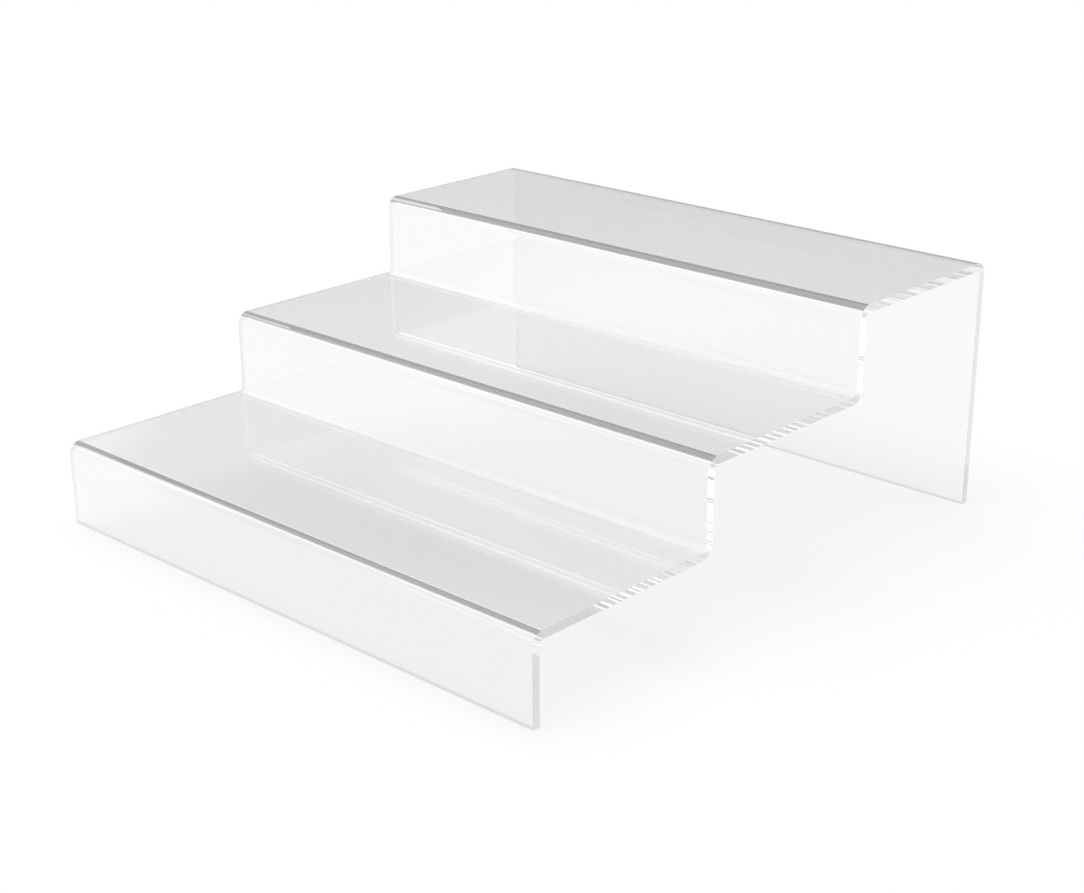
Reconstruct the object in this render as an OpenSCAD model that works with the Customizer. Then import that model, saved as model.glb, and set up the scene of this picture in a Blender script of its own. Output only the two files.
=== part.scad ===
// Three-tier shelf riser, folded from one sheet of clear acrylic.
// The sheet stands on its front leg, steps up over three treads and comes down the back leg to the floor.
// Every flat and every bend of the sheet is a solid of its own.
// Neighbours meet face to face along the lines where a bend begins and ends.
// The origin is on the floor in the middle of the footprint, with the front towards -Y and +Z up.

/* [Sheet] */
// Width of the riser, from one open end to the other
width = 300; // [120:1:600]
// Thickness of the acrylic sheet
sheet = 4; // [2:0.5:8]
// Radius on the inside of every bend
bend_radius = 2.2; // [1:0.1:8]

/* [Treads] */
// Depth of the lower tread, from the face of the front leg to the face of the lower riser
lower_depth = 104; // [50:1:250]
// Depth of the middle tread, from the face of the lower riser to the face of the upper riser
middle_depth = 104; // [50:1:250]
// Depth of the top tread, from the face of the upper riser to the rear face of the back leg
top_depth = 101; // [50:1:250]

/* [Heights] */
// Height of the lower tread above the floor
lower_height = 40.5; // [30:0.5:150]
// Rise from the lower tread to the middle tread
lower_rise = 40.5; // [30:0.5:150]
// Rise from the middle tread to the top tread
upper_rise = 40.5; // [30:0.5:150]

/* [Hidden] */

// A bend's outside is concentric with its inside, so the sheet keeps its thickness round the fold
outer_radius = bend_radius + sheet;

// Heights of the upper faces of the treads
middle_height = lower_height + lower_rise;
top_height = middle_height + upper_rise;

// Front faces of the uprights, and the rear face of the back leg
depth = lower_depth + middle_depth + top_depth;
front_face = -depth / 2;
lower_face = front_face + lower_depth;
upper_face = lower_face + middle_depth;
rear_face = depth / 2;

// Quarter turns that a bend starts from, counted from the rear towards the top
REAR = 0;
TOP = 90;
UNDER = 270;

CLEAR_ACRYLIC = [0.89, 0.92, 0.93, 0.45];
$fn = 96;

// Upright flat with its front at y, between two heights
module upright(y, z_from, z_to) {
    translate([-width / 2, y, z_from])
        cube([width, sheet, z_to - z_from]);
}

// Level flat with its upper face at z, between two depths
module level(z, y_from, y_to) {
    translate([-width / 2, y_from, z - sheet])
        cube([width, y_to - y_from, sheet]);
}

// Quarter bend about a line along the width through y and z
module bend(y, z, start) {
    translate([-width / 2, y, z])
        rotate([90, 0, 90])
            rotate([0, 0, start])
                rotate_extrude(angle = 90)
                    translate([bend_radius, 0])
                        square([sheet, width]);
}

// Fold over the top of an upright, from its front face back to a tread
module fold_back(face, tread) {
    bend(face + outer_radius, tread - outer_radius, TOP);
}

// Fold up from a tread to the face of the upright behind it
module fold_up(face, tread) {
    bend(face - bend_radius, tread + bend_radius, UNDER);
}

module front_leg() {
    color(CLEAR_ACRYLIC)
        upright(front_face, 0, lower_height - outer_radius);
}

module front_bend() {
    color(CLEAR_ACRYLIC)
        fold_back(front_face, lower_height);
}

module lower_tread() {
    color(CLEAR_ACRYLIC)
        level(lower_height, front_face + outer_radius, lower_face - bend_radius);
}

module lower_inner_bend() {
    color(CLEAR_ACRYLIC)
        fold_up(lower_face, lower_height);
}

module lower_riser() {
    color(CLEAR_ACRYLIC)
        upright(lower_face, lower_height + bend_radius, middle_height - outer_radius);
}

module middle_outer_bend() {
    color(CLEAR_ACRYLIC)
        fold_back(lower_face, middle_height);
}

module middle_tread() {
    color(CLEAR_ACRYLIC)
        level(middle_height, lower_face + outer_radius, upper_face - bend_radius);
}

module upper_inner_bend() {
    color(CLEAR_ACRYLIC)
        fold_up(upper_face, middle_height);
}

module upper_riser() {
    color(CLEAR_ACRYLIC)
        upright(upper_face, middle_height + bend_radius, top_height - outer_radius);
}

module upper_outer_bend() {
    color(CLEAR_ACRYLIC)
        fold_back(upper_face, top_height);
}

module top_tread() {
    color(CLEAR_ACRYLIC)
        level(top_height, upper_face + outer_radius, rear_face - outer_radius);
}

module rear_bend() {
    color(CLEAR_ACRYLIC)
        bend(rear_face - outer_radius, top_height - outer_radius, REAR);
}

module back_leg() {
    color(CLEAR_ACRYLIC)
        upright(rear_face - sheet, 0, top_height - outer_radius);
}

front_leg();
front_bend();
lower_tread();
lower_inner_bend();
lower_riser();
middle_outer_bend();
middle_tread();
upper_inner_bend();
upper_riser();
upper_outer_bend();
top_tread();
rear_bend();
back_leg();
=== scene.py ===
"""Looks of a three-tier shelf riser: a clear acrylic sheet, folded six times, on a white studio floor."""
import math

import bmesh
import bpy
from mathutils import Matrix, Vector


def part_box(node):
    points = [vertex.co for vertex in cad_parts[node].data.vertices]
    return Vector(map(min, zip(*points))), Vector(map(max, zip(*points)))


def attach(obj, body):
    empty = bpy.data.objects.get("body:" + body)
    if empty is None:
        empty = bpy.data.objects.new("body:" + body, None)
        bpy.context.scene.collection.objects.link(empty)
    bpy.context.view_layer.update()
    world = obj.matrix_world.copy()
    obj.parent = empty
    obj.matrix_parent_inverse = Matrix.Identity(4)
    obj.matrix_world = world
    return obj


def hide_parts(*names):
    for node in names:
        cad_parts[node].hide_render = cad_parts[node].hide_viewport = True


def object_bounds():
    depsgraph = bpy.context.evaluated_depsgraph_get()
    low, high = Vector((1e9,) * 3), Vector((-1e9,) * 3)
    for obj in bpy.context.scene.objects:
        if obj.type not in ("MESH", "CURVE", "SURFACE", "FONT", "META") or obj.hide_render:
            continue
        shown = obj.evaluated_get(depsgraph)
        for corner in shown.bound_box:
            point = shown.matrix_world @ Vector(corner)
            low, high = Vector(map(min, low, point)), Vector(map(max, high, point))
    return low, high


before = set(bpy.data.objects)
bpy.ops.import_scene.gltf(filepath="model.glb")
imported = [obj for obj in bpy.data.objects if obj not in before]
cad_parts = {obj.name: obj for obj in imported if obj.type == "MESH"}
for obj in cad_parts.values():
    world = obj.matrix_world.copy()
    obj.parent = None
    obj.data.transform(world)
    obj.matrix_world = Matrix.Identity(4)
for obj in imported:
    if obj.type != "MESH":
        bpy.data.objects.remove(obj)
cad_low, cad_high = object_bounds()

MM = 0.001

# The folded sheet, as the frame holds it
leg_low, leg_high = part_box("front_leg")
bend_low, bend_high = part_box("front_bend")
WIDTH = leg_high[0] - leg_low[0]
SHEET = leg_high[1] - leg_low[1]
OUTER_RADIUS = bend_high[2] - bend_low[2]
INNER_RADIUS = OUTER_RADIUS - SHEET
GROUND = leg_low[2]
FRONT_FACE = leg_low[1]
LOWER_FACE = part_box("lower_riser")[0][1]
UPPER_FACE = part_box("upper_riser")[0][1]
REAR_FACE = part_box("back_leg")[1][1]
LOWER_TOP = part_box("lower_tread")[1][2]
MIDDLE_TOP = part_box("middle_tread")[1][2]
TOP_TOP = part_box("top_tread")[1][2]

# Corners of the sheet's outer face as depth and height, from the first fold over the treads to the back foot
FRONT_FOLD = (FRONT_FACE, LOWER_TOP)
LOWER_INNER_FOLD = (LOWER_FACE, LOWER_TOP)
MIDDLE_OUTER_FOLD = (LOWER_FACE, MIDDLE_TOP)
UPPER_INNER_FOLD = (UPPER_FACE, MIDDLE_TOP)
UPPER_OUTER_FOLD = (UPPER_FACE, TOP_TOP)
REAR_FOLD = (REAR_FACE, TOP_TOP)
BACK_FOOT = (REAR_FACE, GROUND)
PATH = [
    FRONT_FOLD, LOWER_INNER_FOLD, MIDDLE_OUTER_FOLD, UPPER_INNER_FOLD,
    UPPER_OUTER_FOLD, REAR_FOLD, BACK_FOOT,
]
OUTWARD_FOLDS = [FRONT_FOLD, MIDDLE_OUTER_FOLD, UPPER_OUTER_FOLD, REAR_FOLD]
INWARD_FOLDS = [LOWER_INNER_FOLD, UPPER_INNER_FOLD]

# Steps that round each fold, and the angle in degrees up to which they shade as one curve
FOLD_SEGMENTS = 64
SMOOTH_ANGLE = 30

# Points closer than this are the same corner
SAME_PLACE = 0.001 * MM

# A face looks down if the Z of its normal is below this
DOWNWARD = -0.99

# Ripple of the cast faces, a guess: a few hundredths of a millimetre high and about a hand wide
RIPPLE_LENGTH = 65 * MM
RIPPLE_HEIGHT = 0.03 * MM

# Lines that a circular saw leaves, a guess: about one for each turn of the blade
SAW_PITCH = 1.2 * MM
SAW_DEPTH = 0.02 * MM
SAW_WOBBLE = 0.6
SAWN_ROUGHNESS = 0.7

# A wave texture of scale 1 has a band every pi / 10 of its coordinate
WAVE_SCALE = math.pi / 10

# Bending power of acrylic and of air for light
ACRYLIC_IOR = 1.49
AIR_IOR = 1.0

# Light lost per metre of acrylic, as an exponent: a sixth from end to end, next to nothing through a face.
# The value is chosen so that the profile shows when the riser is seen from its end.
ABSORPTION = 0.6

# Light that is caught between the faces of the sheet runs straight on after this many turns
TURNS = 12

# Light on the floor and the riser
AMBIENT = 0.15
KEY = 0.85
FLOOR_GLOW = 0.115

# The floor lies slightly below the feet, so that the two don't share a plane
FLOOR_SIZE = 40
FLOOR_GAP = 0.03 * MM

# What the acrylic bends and mirrors: the backdrop's brightness by its height in degrees.
# The floor lets caught light through, and nothing else sees what is below the horizon.
BACKDROP = [
    (-90, 0.45), (-38, 0.45), (-35.5, 0.97), (-17, 0.97), (-14, 0.87), (-3, 0.87),
    (-1, 1.0), (10, 1.0), (13, 0.44), (20, 0.42), (25, 0.23), (30, 0.40),
]


def heading(turn, rise):
    """Direction at an angle round from +X and an angle above the floor, in degrees."""
    turn, rise = math.radians(turn), math.radians(rise)
    return Vector((math.cos(rise) * math.cos(turn), math.cos(rise) * math.sin(turn), math.sin(rise)))


# Lit panels: the direction of the middle, the angles from it where the light begins to fade and ends,
# and the brightness
SOFTBOX = (heading(195, 72), 30, 36, 1.7)
LEFT_WALL = (heading(200, 20), 47, 53, 0.7)
REFLECTOR = (heading(233, 23), 8, 14, 1.7)
LEFT_STRIP = (heading(197, 27), 10, 14, 1.3)
BACK_STRIP = (heading(160, 26), 4, 7, 1.4)
DIM_STRIP = (heading(150, 16), 4, 8, 0.83)
LOW_STRIP = (heading(211.3, -12.2), 2, 3, 2.0)
PANELS = [LEFT_WALL, REFLECTOR, LEFT_STRIP, BACK_STRIP, DIM_STRIP, LOW_STRIP]

# Times that the softbox is brighter in a first reflection, and the ray depth of that
SHINE = 2.4
FIRST_REFLECTION = 1.0

# Caught light that runs to the back is limited: the Y of its direction where that begins and is full,
# the level that it is limited to, and one that limits nothing
TO_THE_SIDE = 0.36
TO_THE_BACK = 0.44
BACK_LEVEL = 0.82
NO_LIMIT = 10.0

# Most times that light is followed on its way, and through clear faces
BOUNCES = 32
CLEAR_BOUNCES = 64

# Camera, as fitted to the photograph's bend lines and edges
IMAGE_WIDTH = 1084
FOCAL_PIXELS = 1948
SENSOR = 36.0
AZIMUTH = math.radians(43.11)
ELEVATION = math.radians(20.80)
ROLL = math.radians(-0.256)
DISTANCE = 920.8 * MM
ASIDE = 7.96 * MM
ABOVE = -25.17 * MM


def linear(code):
    """Linear colour of an sRGB hex code such as #F4F4F4."""
    channels = [int(code[i:i + 2], 16) / 255 for i in (1, 3, 5)]
    return tuple(c / 12.92 if c <= 0.04045 else ((c + 0.055) / 1.055) ** 2.4 for c in channels) + (1.0,)


def add(tree, kind, values=None, links=None, **settings):
    """Adds a node with its settings, its input values and the outputs that feed its inputs."""
    made = tree.nodes.new(kind)
    for name, value in settings.items():
        setattr(made, name, value)
    for socket, value in (values or {}).items():
        made.inputs[socket].default_value = value
    for socket, source in (links or {}).items():
        tree.links.new(source, made.inputs[socket])
    return made


def new_material(name):
    """An empty node material and its tree."""
    material = bpy.data.materials.new(name)
    material.use_nodes = True
    material.node_tree.nodes.clear()
    return material, material.node_tree


def select_folds(piece, corners):
    """Selects, in edit mode, the edges that run across the width through these corners."""
    mesh = bmesh.from_edit_mesh(piece.data)
    bpy.ops.mesh.select_all(action="DESELECT")
    for edge in mesh.edges:
        places = [(v.co.y, v.co.z) for v in edge.verts]
        edge.select_set(any(all(math.dist(p, corner) < SAME_PLACE for p in places) for corner in corners))
    bmesh.update_edit_mesh(piece.data)


def apply_modifier(piece, kind, **settings):
    """Adds a modifier with its settings and applies it."""
    modifier = piece.modifiers.new(kind.lower(), kind)
    for name, value in settings.items():
        setattr(modifier, name, value)
    bpy.ops.object.modifier_apply(modifier=modifier.name)


def folded_sheet():
    """The riser: its outer face drawn out from fold to fold, its folds rounded, then given its thickness."""
    leg_height = LOWER_TOP - GROUND
    bpy.ops.object.select_all(action="DESELECT")
    bpy.ops.mesh.primitive_plane_add(
        size=1, location=(0, FRONT_FACE, GROUND + leg_height / 2), rotation=(math.pi / 2, 0, 0))
    piece = bpy.context.object
    piece.name = "acrylic_sheet"
    piece.scale = (WIDTH, leg_height, 1)
    bpy.ops.object.transform_apply(location=True, rotation=True, scale=True)

    bpy.ops.object.mode_set(mode="EDIT")
    bpy.ops.mesh.select_mode(type="EDGE")
    select_folds(piece, [FRONT_FOLD])
    for here, there in zip(PATH, PATH[1:]):
        step = (0, there[0] - here[0], there[1] - here[1])
        bpy.ops.mesh.extrude_region_move(TRANSFORM_OT_translate={"value": step})
    for folds, radius in ((OUTWARD_FOLDS, OUTER_RADIUS), (INWARD_FOLDS, INNER_RADIUS)):
        select_folds(piece, folds)
        bpy.ops.mesh.bevel(
            offset=radius, segments=FOLD_SEGMENTS, profile=0.5, affect="EDGES", clamp_overlap=False)
    bpy.ops.mesh.select_all(action="SELECT")
    bpy.ops.mesh.normals_make_consistent(inside=False)
    bpy.ops.object.mode_set(mode="OBJECT")
    if piece.data.polygons[0].normal.y > 0:
        piece.data.flip_normals()

    apply_modifier(piece, "SOLIDIFY", thickness=SHEET, offset=-1, use_even_offset=True)
    bpy.ops.object.shade_smooth_by_angle(angle=math.radians(SMOOTH_ANGLE))
    return piece


def finish_feet(piece):
    """Gives the faces that stand on the floor the sheet's second material."""
    bpy.ops.object.mode_set(mode="EDIT")
    bpy.ops.mesh.select_mode(type="FACE")
    bpy.ops.mesh.select_all(action="DESELECT")
    mesh = bmesh.from_edit_mesh(piece.data)
    for face in mesh.faces:
        face.select_set(face.normal.z < DOWNWARD and face.calc_center_median().z < GROUND + SHEET / 2)
    bmesh.update_edit_mesh(piece.data)
    piece.active_material_index = 1
    bpy.ops.object.material_slot_assign()
    bpy.ops.object.mode_set(mode="OBJECT")


def caught_ray(tree):
    """Output that is 1 for light that has made its turns in the sheet."""
    path = add(tree, "ShaderNodeLightPath")
    caught = add(
        tree, "ShaderNodeMath", {1: TURNS - 0.5}, {0: path.outputs["Ray Depth"]}, operation="GREATER_THAN")
    return caught.outputs[0]


def cast_acrylic():
    """Cast acrylic, polished in its mould: clear and mirror smooth, it shows what it bends and mirrors."""
    material, tree = new_material("cast_acrylic_clear")
    place = add(tree, "ShaderNodeTexCoord").outputs["Object"]
    ripple = add(
        tree, "ShaderNodeTexNoise", {"Scale": 1 / RIPPLE_LENGTH, "Detail": 0.0}, {"Vector": place})
    wavy = add(
        tree, "ShaderNodeBump",
        {"Strength": 1.0, "Distance": RIPPLE_HEIGHT},
        {"Height": ripple.outputs["Fac"]})
    clear = {"Base Color": linear("#FAFAFA"), "Roughness": 0.0, "Transmission Weight": 1.0}
    glass = add(
        tree, "ShaderNodeBsdfPrincipled", {**clear, "IOR": ACRYLIC_IOR}, {"Normal": wavy.outputs[0]})
    straight = add(tree, "ShaderNodeBsdfPrincipled", {**clear, "IOR": AIR_IOR})
    passing = add(tree, "ShaderNodeBsdfTransparent", {"Color": linear("#F9F9F9")})
    path = add(tree, "ShaderNodeLightPath")
    shown = glass
    for share, other in (
            (caught_ray(tree), straight),
            (path.outputs["Is Shadow Ray"], passing),
            (path.outputs["Is Diffuse Ray"], passing)):
        shown = add(
            tree, "ShaderNodeMixShader", links={0: share, 1: shown.outputs[0], 2: other.outputs[0]})
    inside = add(
        tree, "ShaderNodeVolumeAbsorption", {"Color": linear("#000000"), "Density": ABSORPTION})
    add(
        tree, "ShaderNodeOutputMaterial", links={"Surface": shown.outputs[0], "Volume": inside.outputs[0]})
    return material


def sawn_acrylic():
    """Acrylic as the saw leaves it: matt and whitish, because fine scratches scatter the light."""
    material, tree = new_material("acrylic_sawn_matt")
    place = add(tree, "ShaderNodeTexCoord").outputs["Object"]
    lines = add(
        tree, "ShaderNodeTexWave",
        {"Scale": WAVE_SCALE / SAW_PITCH, "Distortion": SAW_WOBBLE},
        {"Vector": place}, bands_direction="X")
    grooved = add(
        tree, "ShaderNodeBump", {"Strength": 1.0, "Distance": SAW_DEPTH}, {"Height": lines.outputs["Fac"]})
    matt = add(
        tree, "ShaderNodeBsdfPrincipled",
        {"Base Color": linear("#ECECEC"), "Roughness": SAWN_ROUGHNESS, "IOR": ACRYLIC_IOR},
        {"Normal": grooved.outputs[0]})
    add(tree, "ShaderNodeOutputMaterial", links={"Surface": matt.outputs[0]})
    return material


def seen_ray(tree):
    """Output that is 1 for rays of the camera, of reflections and of what shows through the acrylic."""
    path = add(tree, "ShaderNodeLightPath")
    seen = path.outputs["Is Camera Ray"]
    for kind in ("Is Glossy Ray", "Is Transmission Ray"):
        seen = add(
            tree, "ShaderNodeMath", links={0: seen, 1: path.outputs[kind]}, operation="MAXIMUM").outputs[0]
    return seen


def studio_floor():
    """A pale floor that the camera and the acrylic see as white, apart from the riser's shadow."""
    bpy.ops.object.select_all(action="DESELECT")
    bpy.ops.mesh.primitive_plane_add(size=FLOOR_SIZE, location=(0, 0, GROUND - FLOOR_GAP))
    floor = bpy.context.object
    floor.name = "studio_floor"
    material, tree = new_material("white_paper_sweep")
    paper = add(tree, "ShaderNodeBsdfDiffuse", {"Color": linear("#F2F2F2")})
    glow = add(tree, "ShaderNodeMath", {1: FLOOR_GLOW}, {0: seen_ray(tree)}, operation="MULTIPLY")
    white = add(tree, "ShaderNodeEmission", links={"Strength": glow.outputs[0]})
    both = add(tree, "ShaderNodeAddShader", links={0: paper.outputs[0], 1: white.outputs[0]})
    through = add(tree, "ShaderNodeBsdfTransparent")
    shown = add(
        tree, "ShaderNodeMixShader", links={0: caught_ray(tree), 1: both.outputs[0], 2: through.outputs[0]})
    add(tree, "ShaderNodeOutputMaterial", links={"Surface": shown.outputs[0]})
    floor.data.materials.append(material)


def lit_panel(tree, direction, panel):
    """Output with the brightness of a lit panel, which fades to nothing at its rim."""
    toward, fade, end, level = panel
    facing = add(tree, "ShaderNodeVectorMath", {1: toward}, {0: direction}, operation="DOT_PRODUCT")
    light = add(
        tree, "ShaderNodeMapRange",
        {"From Min": math.cos(math.radians(end)), "From Max": math.cos(math.radians(fade)),
         "To Min": 0.0, "To Max": level},
        {"Value": facing.outputs["Value"]}, interpolation_type="SMOOTHSTEP")
    return light.outputs[0]


def studio_backdrop(tree, rise):
    """Output with the backdrop's brightness, from the Z of a direction."""
    height = add(tree, "ShaderNodeMapRange", {"From Min": -1.0, "From Max": 1.0}, {"Value": rise})
    backdrop = add(tree, "ShaderNodeValToRGB", links={0: height.outputs[0]})
    stops = backdrop.color_ramp
    stops.interpolation = "EASE"
    while len(stops.elements) < len(BACKDROP):
        stops.elements.new(1.0)
    for stop, (angle, level) in zip(stops.elements, BACKDROP):
        stop.position = (math.sin(math.radians(angle)) + 1) / 2
        stop.color = (level, level, level, 1.0)
    return backdrop.outputs["Color"]


def studio_softbox(tree, direction):
    """Output with the softbox's brightness, which is higher in a first reflection."""
    path = add(tree, "ShaderNodeLightPath")
    gain = add(
        tree, "ShaderNodeMapRange",
        {"From Min": FIRST_REFLECTION, "From Max": FIRST_REFLECTION + 1, "To Min": SHINE, "To Max": 1.0},
        {"Value": path.outputs["Ray Depth"]})
    softbox = add(
        tree, "ShaderNodeMath", links={0: lit_panel(tree, direction, SOFTBOX), 1: gain.outputs[0]},
        operation="MULTIPLY")
    return softbox.outputs[0]


def caught_limit(tree, backward):
    """Output with the most that caught light may show, from the Y of its direction."""
    away = add(
        tree, "ShaderNodeMapRange",
        {"From Min": TO_THE_SIDE, "From Max": TO_THE_BACK, "To Min": NO_LIMIT, "To Max": BACK_LEVEL},
        {"Value": backward})
    limit = add(
        tree, "ShaderNodeMix", {"A": NO_LIMIT}, {"Factor": caught_ray(tree), "B": away.outputs[0]},
        data_type="FLOAT")
    return limit.outputs[0]


def studio_world():
    """Even soft light on the floor. The acrylic shows a white backdrop low down and lit panels."""
    world = bpy.data.worlds.new("studio")
    world.use_nodes = True
    tree = world.node_tree
    tree.nodes.clear()
    direction = add(tree, "ShaderNodeTexCoord").outputs["Generated"]
    parts = add(tree, "ShaderNodeSeparateXYZ", links={0: direction})
    shown = studio_backdrop(tree, parts.outputs["Z"])
    lights = [studio_softbox(tree, direction)] + [lit_panel(tree, direction, panel) for panel in PANELS]
    for light in lights:
        shown = add(tree, "ShaderNodeMath", links={0: shown, 1: light}, operation="MAXIMUM").outputs[0]
    limit = caught_limit(tree, parts.outputs["Y"])
    shown = add(tree, "ShaderNodeMath", links={0: shown, 1: limit}, operation="MINIMUM").outputs[0]
    strength = add(
        tree, "ShaderNodeMix", {"A": AMBIENT}, {"Factor": seen_ray(tree), "B": shown}, data_type="FLOAT")
    back = add(
        tree, "ShaderNodeBackground", {"Color": linear("#FFFFFF")}, {"Strength": strength.outputs[0]})
    add(tree, "ShaderNodeOutputWorld", links={"Surface": back.outputs[0]})
    bpy.context.scene.world = world


def key_light():
    """The softbox as a lamp: overhead, a little to the left, and wide enough for a soft shadow."""
    toward, fade, end, _ = SOFTBOX
    data = bpy.data.lights.new("softbox", "SUN")
    data.angle = math.radians(fade + end)
    data.energy = KEY * math.pi / toward.z
    lamp = bpy.data.objects.new("softbox", data)
    bpy.context.scene.collection.objects.link(lamp)
    lamp.rotation_euler = toward.to_track_quat("Z", "Y").to_euler()
    # The world already shows the softbox to the acrylic
    lamp.visible_glossy = False
    lamp.visible_transmission = False


def photo_camera():
    """The camera at the photograph's angle, aimed beside the riser's middle as the picture is framed."""
    back = Vector((math.sin(AZIMUTH) * math.cos(ELEVATION), -math.cos(AZIMUTH) * math.cos(ELEVATION),
                   math.sin(ELEVATION)))
    right = Vector((math.cos(AZIMUTH), math.sin(AZIMUTH), 0))
    up = back.cross(right)
    middle = (Vector(cad_low) + Vector(cad_high)) / 2
    data = bpy.data.cameras.new("camera")
    data.sensor_width = SENSOR
    data.lens = SENSOR * FOCAL_PIXELS / IMAGE_WIDTH
    camera = bpy.data.objects.new("camera", data)
    bpy.context.scene.collection.objects.link(camera)
    across = right * math.cos(ROLL) + up * math.sin(ROLL)
    upright = up * math.cos(ROLL) - right * math.sin(ROLL)
    turn = Matrix((across, upright, back)).transposed().to_4x4()
    turn.translation = middle + back * DISTANCE + right * ASIDE + up * ABOVE
    camera.matrix_world = turn
    bpy.context.scene.camera = camera


sheet = folded_sheet()
sheet.data.materials.append(cast_acrylic())
sheet.data.materials.append(sawn_acrylic())
finish_feet(sheet)
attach(sheet, "root")
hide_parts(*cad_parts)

studio_floor()
studio_world()
key_light()
photo_camera()
scene = bpy.context.scene
scene.view_settings.view_transform = "Standard"
scene.cycles.max_bounces = BOUNCES
scene.cycles.glossy_bounces = BOUNCES
scene.cycles.transmission_bounces = BOUNCES
scene.cycles.transparent_max_bounces = CLEAR_BOUNCES
